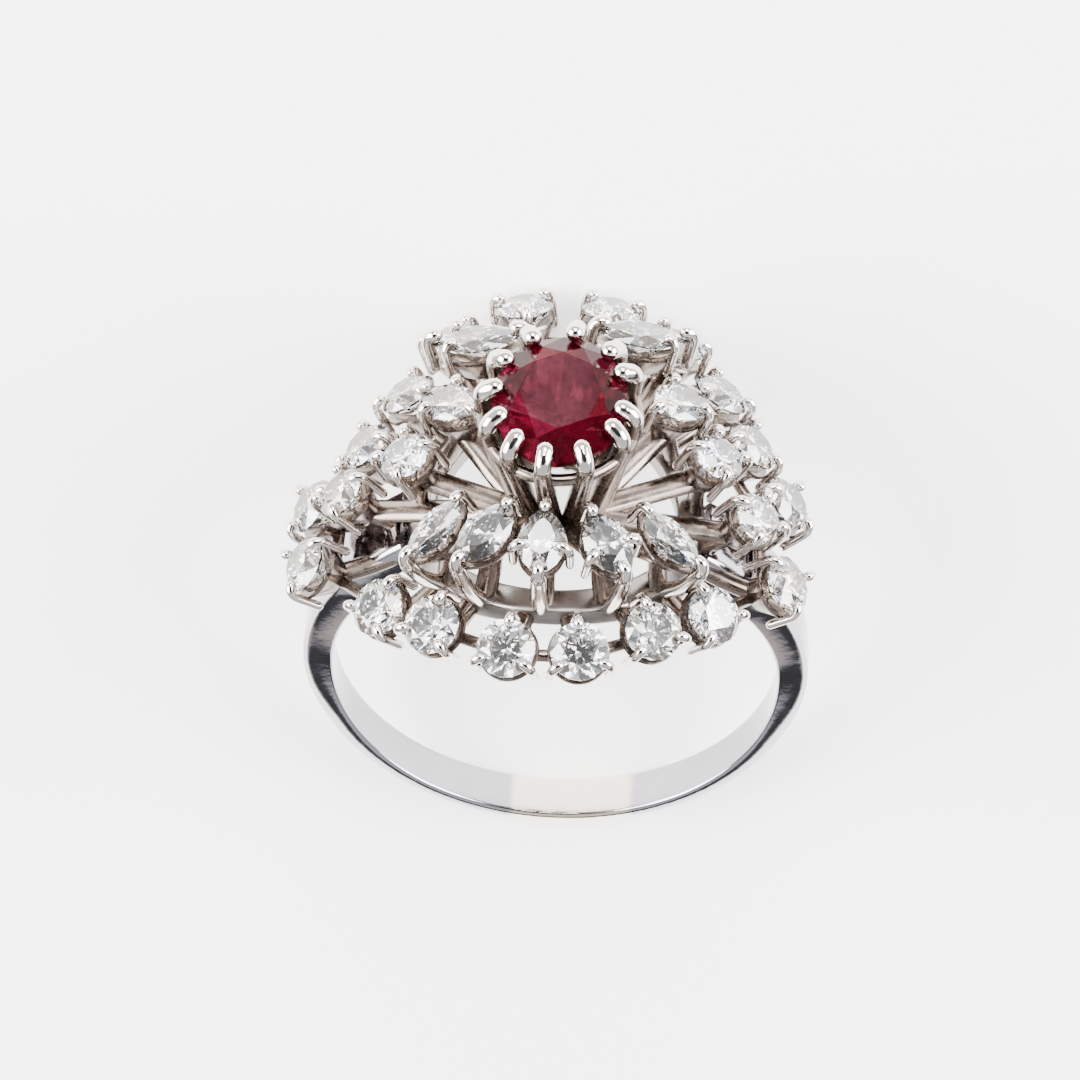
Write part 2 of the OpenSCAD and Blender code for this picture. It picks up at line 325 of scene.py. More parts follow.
# %% Grid and path helpers
def grid_faces(rows, columns, close_rows=False):
    """Quads between neighbours of a grid whose columns go round and close."""
    r = np.arange(rows if close_rows else rows - 1)[:, None]
    c = np.arange(columns)[None, :]
    r2, c2 = (r + 1) % rows, (c + 1) % columns
    corners = [r * columns + c, r * columns + c2, r2 * columns + c2, r2 * columns + c]
    return np.stack(corners, -1).reshape(-1, 4)


def unit(v):
    """A vector, or each of an array of vectors, divided by its length."""
    v = np.asarray(v, float)
    return v / np.linalg.norm(v, axis=-1, keepdims=True)


def smooth_path(knots, count):
    """A Catmull-Rom curve through knots (wires, knots, 3): each span blends its four nearest
    knots with cubic weights, and the end knots are mirrored to give the ends a direction."""
    knots = np.asarray(knots, float)
    ends = [2 * knots[:, :1] - knots[:, 1:2], knots, 2 * knots[:, -1:] - knots[:, -2:-1]]
    k = np.concatenate(ends, 1)
    t = np.linspace(0, knots.shape[1] - 1, count)
    i = np.minimum(t.astype(int), knots.shape[1] - 2)
    u = (t - i)[None, :, None]
    p0, p1, p2, p3 = (k[:, i + j] for j in range(4))
    return 0.5 * (2 * p1 + (p2 - p0) * u + (2 * p0 - 5 * p1 + 4 * p2 - p3) * u ** 2
                  + (3 * p1 - p0 - 3 * p2 + p3) * u ** 3)


# %% Wire and rail builders
CAP = np.radians([90, 60, 30])


def tubes(middle, reach, along, side_on, sides, flat, close_rows):
    """A point is the middle, plus reach times (cos a, flat * sin a) in the plane across the
    path; side_on fixes where a is 0. Wires are numbered one after another."""
    one = unit(np.cross(along, np.asarray(side_on, float)[:, None, :]))
    two = np.cross(along, one)
    a = np.linspace(0, 2 * np.pi, sides, endpoint=False)
    ring = one[:, :, None] * np.cos(a)[:, None] + flat * two[:, :, None] * np.sin(a)[:, None]
    points = middle[:, :, None] + reach[:, :, None, None] * ring
    count, rows = points.shape[:2]
    first = np.arange(count)[:, None, None] * rows * sides
    return points.reshape(-1, 3), (grid_faces(rows, sides, close_rows)[None] + first).reshape(-1, 4)


def wires(paths, radii, side_on, sides=10, flat=1.0):
    """Round or flattened wires along paths (wires, points, 3). Each end is a half ball: rows
    at 90, 60 and 30 degrees, whose radius is the wire's times the cosine, pushed out by the
    wire's radius times the sine."""
    paths = np.asarray(paths, float)
    radii = np.broadcast_to(radii, paths.shape[:2])
    along = unit(np.gradient(paths, axis=1))
    start = paths[:, :1] - along[:, :1] * (radii[:, :1] * np.sin(CAP))[..., None]
    end = paths[:, -1:] + along[:, -1:] * (radii[:, -1:] * np.sin(CAP[::-1]))[..., None]
    middle = np.concatenate([start, paths, end], 1)
    reach = np.concatenate([radii[:, :1] * np.cos(CAP), radii, radii[:, -1:] * np.cos(CAP[::-1])], 1)
    caps = len(CAP)
    along = np.concatenate([np.repeat(along[:, :1], caps, 1), along, np.repeat(along[:, -1:], caps, 1)], 1)
    return tubes(middle, reach, along, side_on, sides, flat, close_rows=False)


def rails(paths, radius, up, sides=10):
    """Closed wires: as wires(), but the path's end meets its start, so there are no caps."""
    paths = np.asarray(paths, float)
    along = unit(np.roll(paths, -1, 1) - np.roll(paths, 1, 1))
    return tubes(paths, np.full(paths.shape[:2], radius), along, up, sides, 1.0, close_rows=True)


# %% Piece builder
def build(name, shells, material, nodes, crease=None):
    """Join shells of (points, faces), lay the ring down, merge the poles, turn the faces
    outwards, and make one piece that rides on the ring's body. crease is the angle in
    degrees above which an edge stays sharp; None leaves every facet flat."""
    points, faces, base = [], [], 0
    for shell_points, shell_faces in shells:
        points.append(lay(shell_points))
        faces += [[int(i) + base for i in face] for face in shell_faces]
        base += len(shell_points)
    mesh = bpy.data.meshes.new(name)
    mesh.from_pydata(np.concatenate(points).tolist(), [], faces)
    work = bmesh.new()
    work.from_mesh(mesh)
    bmesh.ops.remove_doubles(work, verts=work.verts, dist=1e-8)
    bmesh.ops.recalc_face_normals(work, faces=work.faces)
    work.to_mesh(mesh)
    work.free()
    mesh.materials.append(material)
    made = bpy.data.objects.new(name, mesh)
    bpy.context.collection.objects.link(made)
    if crease is not None:
        mesh.polygons.foreach_set("use_smooth", np.ones(len(mesh.polygons), bool))
        mesh.set_sharp_from_angle(angle=np.radians(crease))
    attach(made, "root")
    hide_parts(*nodes)
    return made


# %% [markdown]
# ## White gold
# White gold of 18 carat is a warm grey alloy, and it is plated with rhodium and buffed, so
# it is bright with a slight warmth. A felt wheel leaves the shank like a mirror with a
# faint wave. It can't reach into the wirework, so the drawn wires keep a finer skin, and
# the cast feet and cups between them stay duller. Their darker colour is painted shade,
# for the shade among the wires, and so is the gallery's darker satin grey, for the shade
# under the head. One noise at the size of the tool's marks drives colour, gloss and bump
# together, because on the metal they are one.

# %% White gold finishes
BUFF_MM = 1.6
PIT_MM = 0.16
CAST_MM = 0.7
BUMP_DEPTH = 0.12


def white_gold(name, light, dark, mark_mm, bump, rough):
    """Metal whose colour and roughness drift over mark_mm and whose skin waves at that size."""
    made, tree, shader = new_material(name, Metallic=1.0, Roughness=rough)
    where = add(tree, "ShaderNodeTexCoord").outputs["Object"]
    drift = add(tree, "ShaderNodeTexNoise", {"Scale": 1 / (mark_mm * MM), "Detail": 4.0, "Roughness": 0.6},
                {"Vector": where}).outputs["Fac"]
    colour = add(tree, "ShaderNodeMix", {"A": linear(dark), "B": linear(light)},
                 {"Factor": drift}, data_type="RGBA")
    gloss = add(
        tree, "ShaderNodeMapRange",
        {"From Min": 0.3, "From Max": 0.7, "To Min": rough * 0.6, "To Max": rough * 1.6},
        {"Value": drift})
    skin = add(tree, "ShaderNodeBump", {"Strength": bump, "Distance": mark_mm * MM * BUMP_DEPTH},
               {"Height": drift})
    tree.links.new(colour.outputs["Result"], shader.inputs["Base Color"])
    tree.links.new(gloss.outputs["Result"], shader.inputs["Roughness"])
    tree.links.new(skin.outputs["Normal"], shader.inputs["Normal"])
    return made


# rhodium plate, buffed: a cool mirror with a slow wave
polished_gold = white_gold("white_gold_buffed", "#b7b4bc", "#a3a0a6", BUFF_MM, 0.10, 0.08)
# drawn wire, tumbled: the brightest metal, with a fine grain in its highlights
wire_gold = white_gold("white_gold_wirework", "#e8e3df", "#d2cac5", PIT_MM, 0.10, 0.08)
# as cast and pickled, so rougher, with soft uneven reflections; its dull brownish grey is painted shade,
# for the shade among the wires
cast_gold = white_gold("white_gold_cast_painted_shade", "#8f837c", "#72675f", CAST_MM, 0.08, 0.22)
# scraped inside the gallery, so satin; its even, slightly warm, darker grey is painted shade, for the
# shade under the head
inside_gold = white_gold("white_gold_satin_painted_shade", "#a09a97", "#8f8986", BUFF_MM, 0.03, 0.28)

# %% Painted reflection in the finger hole
# painted reflection: a warm cream patch mirrored in the bottom of the finger hole
WORN_TONE = "#ece2d4"
WORN_MIDDLE_MM = 0.6
WORN_HALF_MM = 2.1
WORN_EDGE_MM = 0.35
WORN_START_MM, WORN_FULL_MM = -6.0, -6.5


def wear_patch(made):
    """A painted reflection: at the bottom of the finger hole a warm cream patch stands in for
    a pale thing mirrored there. The share of it is one where x is near the patch's middle,
    times one where y is below it."""
    tree = made.node_tree
    shader = tree.nodes["Principled BSDF"]
    before = shader.inputs["Base Color"].links[0].from_socket
    where = add(tree, "ShaderNodeTexCoord").outputs["Object"]
    place = add(tree, "ShaderNodeSeparateXYZ", {}, {"Vector": where})
    off = add(tree, "ShaderNodeMath", {1: WORN_MIDDLE_MM * MM}, {0: place.outputs["X"]},
              operation="SUBTRACT").outputs["Value"]
    far = add(tree, "ShaderNodeMath", {}, {0: off}, operation="ABSOLUTE").outputs["Value"]
    edges = {"From Min": WORN_HALF_MM * MM, "From Max": (WORN_HALF_MM + WORN_EDGE_MM) * MM,
             "To Min": 1.0, "To Max": 0.0}
    across = add(tree, "ShaderNodeMapRange", edges, {"Value": far},
                 interpolation_type="SMOOTHSTEP").outputs["Result"]
    low = add(tree, "ShaderNodeMapRange", {"From Min": WORN_START_MM * MM, "From Max": WORN_FULL_MM * MM},
              {"Value": place.outputs["Y"]}).outputs["Result"]
    here = add(tree, "ShaderNodeMath", {}, {0: across, 1: low}, operation="MULTIPLY").outputs["Value"]
    worn = add(tree, "ShaderNodeMix", {"B": linear(WORN_TONE)}, {"Factor": here, "A": before},
               data_type="RGBA")
    tree.links.new(worn.outputs["Result"], shader.inputs["Base Color"])


# the shank's finger hole gets the painted reflection
wear_patch(polished_gold)
print("gold finishes: 4")

# %% [markdown]
# ## Shank
# The shank is half-round at the bottom of the finger and turns flat-sided as it widens
# into the shoulders. Two profiles could be lofted into each other, but one surface does
# both: at each angle round the finger the section is a superellipse, whose power grows
# from 2, a half circle, to about 8, nearly a rectangle.

# %% Shank
SHANK_ROWS = 200
SHANK_END = 143.0
CORNER = 0.12
WEDGE_START, WEDGE_LENGTH = -6.0, 11.0
WEDGE_SOFT = 0.01
SQUARE_START, SQUARE_LENGTH = -4.0, 8.0
ROUND_POWER, SQUARE_POWER = 2.0, 8.2


def shank_surface():
    """Angle t goes round the finger from the bottom. The inner face lies at the hole's
    radius, with a rounded corner each side. The outer one is a circle a little higher than
    the hole. Across, a point of the outer face is w * cos(p) to the power 2/n, and out it
    is wall * sin(p) to the power 2/n, where w and n grow smoothly towards the shoulders."""
    t = np.radians(np.linspace(-SHANK_END, SHANK_END, SHANK_ROWS))[:, None]
    height = -SHANK_R * np.cos(t)
    wedge = SHOULDER_HALF_W * np.clip((height - WEDGE_START) / WEDGE_LENGTH, 0, 1)
    wider = wedge - SHANK_HALF_W
    half_w = SHANK_HALF_W + 0.5 * (wider + np.sqrt(wider ** 2 + WEDGE_SOFT))
    grow = np.clip((height - SQUARE_START) / SQUARE_LENGTH, 0, 1)
    power = ROUND_POWER + (SQUARE_POWER - ROUND_POWER) * grow * grow * (3 - 2 * grow)
    outer = -SHANK_RISE * np.cos(t) + np.sqrt(SHANK_R ** 2 - (SHANK_RISE * np.sin(t)) ** 2)

    p = np.radians(np.linspace(0, 180, 37))[None, :]
    outer_y = half_w * np.sign(np.cos(p)) * np.abs(np.cos(p)) ** (2 / power)
    outer_r = (HOLE_R + CORNER) + (outer - HOLE_R - CORNER) * np.abs(np.sin(p)) ** (2 / power)

    q = np.radians(np.linspace(0, 90, 5))[None, 1:]
    corner_y = (half_w - CORNER) + CORNER * np.cos(q)
    corner_r = HOLE_R + CORNER - CORNER * np.sin(q) + 0 * half_w
    flat_y = (half_w - CORNER) * np.linspace(-1, 1, 9)[None, 1:-1]
    flat_r = HOLE_R + 0 * flat_y
    y = np.concatenate([outer_y, -corner_y, flat_y, corner_y[:, ::-1]], 1)
    r = np.concatenate([outer_r, corner_r, flat_r, corner_r[:, ::-1]], 1)

    points = np.stack([r * np.sin(t), y, -r * np.cos(t)], -1)
    first, last = points[:1].mean(1, keepdims=True), points[-1:].mean(1, keepdims=True)
    columns = y.shape[1]
    points = np.concatenate([np.repeat(first, columns, 1), points, np.repeat(last, columns, 1)])
    return points.reshape(-1, 3), grid_faces(SHANK_ROWS + 2, columns)


shank = build("shank", [shank_surface()], polished_gold, ["ring_mount"], crease=40)
print("shank faces:", len(shank.data.polygons))

# %% [markdown]
# ## Base gallery
# The head stands on a ring that is bent over the finger like a saddle. A flat ring could be
# bent with a modifier, but then its bore wouldn't fit the finger exactly. So its section is
# a softened rectangle, and each point is lifted onto a cylinder round the finger: the ring
# fits the finger below and the settings above.

# %% Base gallery
INSIDE_STEP = 0.3
GALLERY_CLEAR = 0.02
GALLERY_SOFTNESS = 6.0


def saddle(inner_r, outer_r, low, high, rows=144, columns=32):
    """At azimuth t a section point has radius r and stands h above the hole, both on a
    superellipse. It is placed at x = r sin t, y = -r cos t, z = sqrt((hole + h)^2 - x^2)."""
    t = np.radians(np.linspace(0, 360, rows, endpoint=False))[:, None]
    p = np.radians(np.linspace(0, 360, columns, endpoint=False))[None, :]
    across = np.sign(np.cos(p)) * np.abs(np.cos(p)) ** (2 / GALLERY_SOFTNESS)
    upward = np.sign(np.sin(p)) * np.abs(np.sin(p)) ** (2 / GALLERY_SOFTNESS)
    r = (inner_r + outer_r) / 2 + (outer_r - inner_r) / 2 * across
    h = (low + high) / 2 + (high - low) / 2 * upward
    x, y = r * np.sin(t), -r * np.cos(t)
    z = np.sqrt((HOLE_R + h) ** 2 - x * x)
    return np.stack([x, y, z], -1).reshape(-1, 3), grid_faces(rows, columns, close_rows=True)


gallery_shell = saddle(GALLERY_R - GALLERY_RIM - INSIDE_STEP, GALLERY_R, GALLERY_CLEAR, GALLERY_H)
# the gallery's darker grey is painted shade under the head
gallery = build("base_gallery", [gallery_shell], inside_gold, ["ring_mount"], crease=50)
print("gallery faces:", len(gallery.data.polygons))

# %% [markdown]
# ## Seats of the stones
# Each stone has a seat: the middle of its girdle, the direction that its table faces, and
# two directions in the plane of its girdle. The seats fan out over a dome that droops to
# the sides of the finger. Stones, claws, cups and struts all start from the same seats, so
# they stay together.

# %% Seats
OUTER_DROOP = 0.04
INNER_DROOP = 0.06


def seat(azimuth, reach, height, heading):
    """The middle lies at the azimuth and reach. Up leans away from the finger. Out is the
    heading, levelled into the stone's own plane, and side is up crossed with out."""
    a, b = np.radians([azimuth, heading])
    middle = np.array([reach * np.sin(a), -reach * np.cos(a), height])
    up = unit(middle * [1, FACING, 1])
    plan = np.array([np.sin(b), -np.cos(b), 0])
    out = unit(plan - (plan @ up) * up)
    return middle, up, out, np.cross(up, out)


def outer_seat(row):
    """The outer tier droops by its droop times the distance from the middle, squared."""
    x = row[1] * np.sin(np.radians(row[0]))
    return seat(row[0], row[1], OUTER_Z - OUTER_DROOP * x * x, row[0])


def inner_seat(row):
    """The inner tier stands higher and droops more."""
    x = row[2] * np.sin(np.radians(row[1]))
    return seat(row[1], row[2], INNER_Z - INNER_DROOP * x * x, row[1] + row[3])


def at(s, along, side, up):
    """A point by its place along, beside and above a seat; arrays give arrays."""
    along, side, up = (np.asarray(v, float)[..., None] for v in (along, side, up))
    return s[0] + along * s[2] + side * s[3] + up * s[1]


def girdle(form, degrees, length, width):
    """Outline of a girdle: an ellipse, which a marquise sharpens at both ends by a power of
    the sine, and a pear at its inner end by drawing in its sides."""
    a = np.radians(degrees)
    x, y = length / 2 * np.cos(a), width / 2 * np.sin(a)
    if form == "marquise":
        y = width / 2 * np.sign(np.sin(a)) * np.abs(np.sin(a)) ** 1.45
    if form == "pear":
        y = y * np.where(np.cos(a) < 0, 1 - 0.55 * np.cos(a) ** 2, 1)
    return x, y


RUBY_SEAT = tuple(np.array(v, float) for v in ([RUBY_X, 0, RUBY_Z], [0, 0, 1], [0, -1, 0], [1, 0, 0]))
print("ruby's girdle mm above the finger's middle:", RUBY_Z)

# %% [markdown]
# ## Clear stones
# A diamond's brilliant cut has a table, eight stars, eight kites and sixteen upper halves
# above the girdle, and sixteen lower halves and eight mains below. Its sparkle comes from
# light that turns back at the steep lower facets, so the facets are real geometry and the
# material is plain clear glass with a diamond's index, 2.42. The fire, which is light split
# into colours, is a faint tint on a few facets, because the shader doesn't split light.

# %% Diamond finish
FIRE = ["#ffffff", "#f4f6fb", "#ffe2c4", "#cfe0ff", "#fff3c9", "#e3e6ee"]
FIRE_ODDS = [0.46, 0.24, 0.07, 0.08, 0.05, 0.10]

# polished diamond: perfectly smooth and clear, and very slightly milky from fine scratches
diamond, diamond_tree, diamond_shader = new_material(
    "diamond_polished", Roughness=0.0, IOR=2.42, Transmission_Weight=0.985)
fire = add(diamond_tree, "ShaderNodeAttribute", attribute_name="fire")
diamond_tree.links.new(fire.outputs["Color"], diamond_shader.inputs["Base Color"])

# %% Brilliant cut
STONE_SHARE = dict(table=0.56, crown=0.16, girdle=0.04, pavilion=0.42)
STAR_PART = 0.5
LOWER_PART = 0.24
MAINS = 8


def brilliant(s, form, length, width, share):
    """Angles step by half a main. A kite runs straight from the table's corner to the
    girdle, so a point at radius r on the line between two kites has the kite's height
    there, which goes with r * cos(half a step). Radii are parts of the girdle's radius,
    and the shares of table, crown, girdle and pavilion are parts of the width."""
    step = 360 / MAINS
    whole = np.arange(MAINS) * step
    half = whole + step / 2
    girdle_h = share["girdle"] * width / 2
    top = (share["girdle"] / 2 + share["crown"]) * width
    tip = -(share["girdle"] / 2 + share["pavilion"]) * width
    lean = np.cos(np.radians(step / 2))
    star = STAR_PART * (share["table"] * lean + 1)
    star_h = girdle_h + (top - girdle_h) * (1 - star * lean) / (1 - share["table"])
    lower_h = tip + (-girdle_h - tip) * LOWER_PART * lean

    def ring(degrees, radius, height):
        """The girdle's outline at some angles, shrunk to a radius and lifted to a height."""
        x, y = girdle(form, degrees, length, width)
        return at(s, radius * x, radius * y, np.full(len(degrees), height))

    points = np.concatenate([
        ring(whole, share["table"], top), ring(half, star, star_h),
        ring(whole, 1, girdle_h), ring(half, 1, girdle_h),
        ring(whole, 1, -girdle_h), ring(half, 1, -girdle_h),
        ring(half, LOWER_PART, lower_h), at(s, 0, 0, tip)[None]])
    return points, brilliant_faces()


def brilliant_faces():
    """Facets by corner number. The rings follow one another, MAINS corners each: table,
    stars, whole and half corners of the girdle's top, the same of its foot, and the tops of
    the pavilion's mains; the culet comes last."""
    n = MAINS
    table, star, top, top_half, foot, foot_half, main, culet = (k * n for k in range(8))
    faces = [list(range(n))]
    for i in range(n):
        j, k = (i + 1) % n, (i - 1) % n
        faces += [
            [table + i, table + j, star + i],
            [table + i, star + i, top + i],
            [table + i, top + i, star + k],
            [star + i, top + i, top_half + i],
            [star + i, top_half + i, top + j],
            [top + i, top_half + i, foot_half + i, foot + i],
            [top_half + i, top + j, foot + j, foot_half + i],
            [main + i, foot + i, foot_half + i],
            [main + i, foot_half + i, foot + j],
            [culet, main + k, foot + i],
            [culet, foot + i, main + i],
        ]
    return faces


# %% Facet helpers
FLAT_DEGREES = 0.5
rng = np.random.default_rng(7)


def merge_kites(made):
    """Join neighbouring facets that lie in one plane, such as the two halves of a kite."""
    work = bmesh.new()
    work.from_mesh(made.data)
    bmesh.ops.dissolve_limit(
        work, angle_limit=np.radians(FLAT_DEGREES), verts=work.verts, edges=work.edges)
    work.to_mesh(made.data)
    work.free()


def paint_facets(made, attribute, codes, odds, table_code=None):
    """Give every facet one of a few tints, by seeded chance, as a colour attribute. The
    table, which has the most corners, may have a tint of its own, used for a painted sheen."""
    mesh = made.data
    tints = np.array([linear(c) for c in codes])
    chosen = tints[rng.choice(len(codes), len(mesh.polygons), p=odds)]
    counts = np.empty(len(mesh.polygons), np.int32)
    mesh.polygons.foreach_get("loop_total", counts)
    if table_code:
        chosen[np.argmax(counts)] = linear(table_code)
    layer = mesh.color_attributes.new(attribute, "FLOAT_COLOR", "CORNER")
    layer.data.foreach_set("color", np.repeat(chosen, counts, 0).astype(np.float32).ravel())


# %% Clear stones
def clear_stone(name, s, form, length, width, node):
    """One small stone in its seat, with its fire."""
    made = build(name, [brilliant(s, form, length, width, STONE_SHARE)], diamond, [node])
    merge_kites(made)
    paint_facets(made, "fire", FIRE, FIRE_ODDS)


for i, row in enumerate(OUTER, 1):
    clear_stone(f"round_stone_{i}", outer_seat(row), "round", OUTER_D, OUTER_D, f"outer_stone_{i}")
for i, row in enumerate(INNER, 1):
    clear_stone(f"{row[0]}_stone_{i}", inner_seat(row), row[0], row[4], row[5], f"inner_stone_{i}")
print("clear stones:", len(OUTER) + len(INNER))

# %% [markdown]
# ## Ruby
# The ruby is cut as an oval with a broad table. Fine needles, called silk, cloud it, so
# part of its light comes straight back from inside as a soft greyish crimson, and only the
# rest passes through and returns from the facets. That is why the shader is part glass and
# part matt. Each facet has its own depth of crimson, and the table is the greyest: that
# grey is a painted sheen.

# %% Ruby finish
# real silk is too fine to show, so it is drawn as coarse as 0.22 mm
SILK_MM = 0.22
CLOUD_MM = 2.1
HAZE_FROM, HAZE_TO = (0.16, 0.36), (0.65, 1.5)
FACET_TONES = ["#3c0410", "#5a1420", "#2c0309", "#541024"]
FACET_ODDS = [0.3, 0.25, 0.25, 0.2]
# the table's greyish tone is a painted sheen
TABLE_TONE = "#4c262e"

# polished ruby: corundum's index is 1.77, but a silky stone reflects less, so it is lower,
# and its tint and its specular level keep the reflections dark
ruby_finish, ruby_tree, ruby_shader = new_material(
    "ruby_polished", Roughness=0.03, IOR=1.5, Transmission_Weight=0.62, Specular_IOR_Level=0.0,
    Specular_Tint=linear("#4a1020"))
ruby_where = add(ruby_tree, "ShaderNodeTexCoord").outputs["Object"]
silk = add(ruby_tree, "ShaderNodeTexNoise", {"Scale": 1 / (SILK_MM * MM), "Detail": 5.0, "Roughness": 0.7},
           {"Vector": ruby_where}).outputs["Fac"]
cloud = add(ruby_tree, "ShaderNodeTexNoise", {"Scale": 1 / (CLOUD_MM * MM), "Detail": 2.0},
            {"Vector": ruby_where}).outputs["Fac"]
haze = add(ruby_tree, "ShaderNodeMath", {}, {0: silk, 1: cloud}, operation="MULTIPLY").outputs["Value"]
haze_range = add(
    ruby_tree, "ShaderNodeMapRange",
    {"From Min": HAZE_FROM[0], "From Max": HAZE_FROM[1], "To Min": HAZE_TO[0], "To Max": HAZE_TO[1]},
    {"Value": haze}).outputs["Result"]
facet = add(ruby_tree, "ShaderNodeAttribute", attribute_name="facet_tone").outputs["Color"]
toned = add(ruby_tree, "ShaderNodeVectorMath", {}, {0: facet, "Scale": haze_range}, operation="SCALE")
ruby_tree.links.new(toned.outputs["Vector"], ruby_shader.inputs["Base Color"])

# %% Ruby
RUBY_SHARE = dict(table=0.6, crown=0.12, girdle=0.04, pavilion=0.42)
ruby = build("ruby_stone", [brilliant(RUBY_SEAT, "oval", RUBY_L, RUBY_W, RUBY_SHARE)],
             ruby_finish, ["ruby"])
merge_kites(ruby)
paint_facets(ruby, "facet_tone", FACET_TONES, FACET_ODDS, TABLE_TONE)
print("ruby facets:", len(ruby.data.polygons))

# %% [markdown]
# ## Ruby basket
# Twelve wires rise from a small ring under the ruby, lean outwards, and curl over the edge
# of the stone. Each is one path through five knots, thickest at its foot, and a little
# thicker again at its rounded tip. The path is split in two, because the tips are polished
# and the feet are not. The feet and the rings under the ruby are also darker, and that
# darker colour is painted shade.

# %% Ruby basket
RUBY_PRONGS = np.array([19, 51, 73, 115, 140, 172, 204, 235, 268, 300, 327, 352])
RUBY_WIRE = 0.33
RUBY_TIP = 0.37
RUBY_FOOT = 0.44
BASKET_STEPS = 22
HALF_WAY_STEP = 9
SPLIT_STEP = 13
HUB_RING_WIRE = 0.36
MID_RING_WIRE = 0.24
MID_RING_SHAPE = [0.96, 1.04, 1]


def ruby_claws():
    """Knots at each angle: the foot on the hub ring, half way up, beside the girdle, over
    it, and the tip on the crown. The distance is the oval's radius at that angle plus an
    offset."""
    a = np.radians(RUBY_PRONGS - 90.0)
    oval = 1 / np.sqrt((np.cos(a) / (RUBY_W / 2)) ** 2 + (np.sin(a) / (RUBY_L / 2)) ** 2)
    away = np.stack([np.cos(a), np.sin(a), 0 * a], -1)
    half_out = 0.5 * (HUB_R + oval)
    reach = np.stack([0 * a + HUB_RING_R, half_out, oval + 0.32, oval + 0.28, oval - 0.14], 1)
    high = np.array([HUB_Z, 12.3, RUBY_Z - 0.3, RUBY_Z + 0.33, RUBY_Z + 0.61])
    knots = away[:, None] * reach[..., None] + np.array([0, 0, 1.0]) * high[None, :, None]
    knots[..., 0] += RUBY_X
    paths = smooth_path(knots, BASKET_STEPS)
    steps = [0, SPLIT_STEP, BASKET_STEPS - 1]
    radii = np.interp(np.arange(BASKET_STEPS), steps, [RUBY_FOOT, RUBY_WIRE, RUBY_TIP])
    return paths, np.broadcast_to(radii, paths.shape[:2]), np.cross(away, [0, 0, 1.0])


basket_paths, basket_radii, basket_level = ruby_claws()
half_way = basket_paths[:, HALF_WAY_STEP]
t = np.linspace(0, 2 * np.pi, 72, endpoint=False)
hub_ring = np.stack([HUB_RING_R * np.cos(t), HUB_RING_R * np.sin(t), 0 * t + HUB_Z], -1)
mid_scale = np.linalg.norm(half_way[:, :2], axis=1).mean() / HUB_RING_R
mid_ring = hub_ring * (np.array([mid_scale, mid_scale, 1]) * MID_RING_SHAPE)
mid_ring = mid_ring + [RUBY_X, 0, half_way[0, 2] - HUB_Z]
tips = wires(basket_paths[:, SPLIT_STEP:], basket_radii[:, SPLIT_STEP:], basket_level, 14)
feet = wires(basket_paths[:, :SPLIT_STEP + 1], basket_radii[:, :SPLIT_STEP + 1], basket_level, 14)
build("ruby_claws", [tips], wire_gold, ["ring_mount"], crease=60)
# feet and rings in the darker cast metal: painted shade under the ruby
build("ruby_basket",
      [feet, rails(hub_ring[None], HUB_RING_WIRE, [[0, 0, 1]], 12),
       rails(mid_ring[None], MID_RING_WIRE, [[0, 0, 1]], 10)],
      cast_gold, ["ring_mount"], crease=60)
print("ruby claws:", len(basket_paths))

# %% [markdown]
# ## Settings of the small stones
# A round stone of the outer tier sits in a small cup and is held by three claws: one
# towards the ruby and two outside. Each claw is a straight wire beside the stone whose top
# bends over the crown. A flat strut carries the cup on the base gallery, and a rail under
# the stones joins cup to cup. The claws could be separate copies of one mesh, but each
# follows its own stone's edge, so all are worked out from the seats.

# %% Claw, cup and strut of a small setting
CLAW_WIRE = 0.18
CLAW_TIP = 0.21
CLAW_STEPS = 18
CLAW_BEND_STEP = 12
CLAW_LOW = -1.0
FOOT_LOW = -1.35
STRUT_STEPS = 14
CUP_SHARE = np.array([0, 0.5, 0.6, 0.98, 1.05, 1.02, 0.88, 0.8, 0.3, 0])
CUP_HIGH = np.array([-1.52, -1.52, -1.44, -0.68, -0.56, -0.46, -0.46, -0.55, -1.15, -1.2])


def claw_knots(s, x, y):
    """Knots of one claw in the upright plane through the seat's middle and the girdle point
    (x, y): distances are the point's own plus an offset, heights are from the girdle."""
    far = np.hypot(x, y)
    toward_point = (x / far) * s[2] + (y / far) * s[3]
    reach = far + np.array([0.2, 0.21, 0.22, 0.2, 0.06, -0.12])
    high = np.array([CLAW_LOW, CLAW_LOW * 0.5, -0.12, 0.14, 0.34, 0.37])
    return s[0] + toward_point * reach[:, None] + s[1] * high[:, None], np.cross(toward_point, s[1])


def claw_shell(knots, levels, swell=1.0):
    """All the claws of a group: thin wires that thicken towards the tip, times their swell."""
    steps = [0, CLAW_BEND_STEP, CLAW_STEPS - 1]
    radii = np.interp(np.arange(CLAW_STEPS), steps, [CLAW_WIRE, CLAW_WIRE, CLAW_TIP])
    radii = radii * np.broadcast_to(swell, len(knots))[:, None]
    return wires(smooth_path(knots, CLAW_STEPS), radii, levels, 12)


def over_gallery(azimuth, reach, high=0.5):
    """A point on the base gallery's wall: on the finger's cylinder plus a height."""
    a = np.radians(azimuth)
    x = reach * np.sin(a)
    return np.array([x, -reach * np.cos(a), np.sqrt((HOLE_R + GALLERY_H * high) ** 2 - x * x)])


def strut_knots(start, s):
    """From a point on the gallery, along the ground, then up to the foot of the setting."""
    foot = at(s, -0.05, 0, FOOT_LOW)
    middle = 0.45 * start + 0.55 * foot - 0.12 * s[1]
    return np.stack([start, middle, foot])


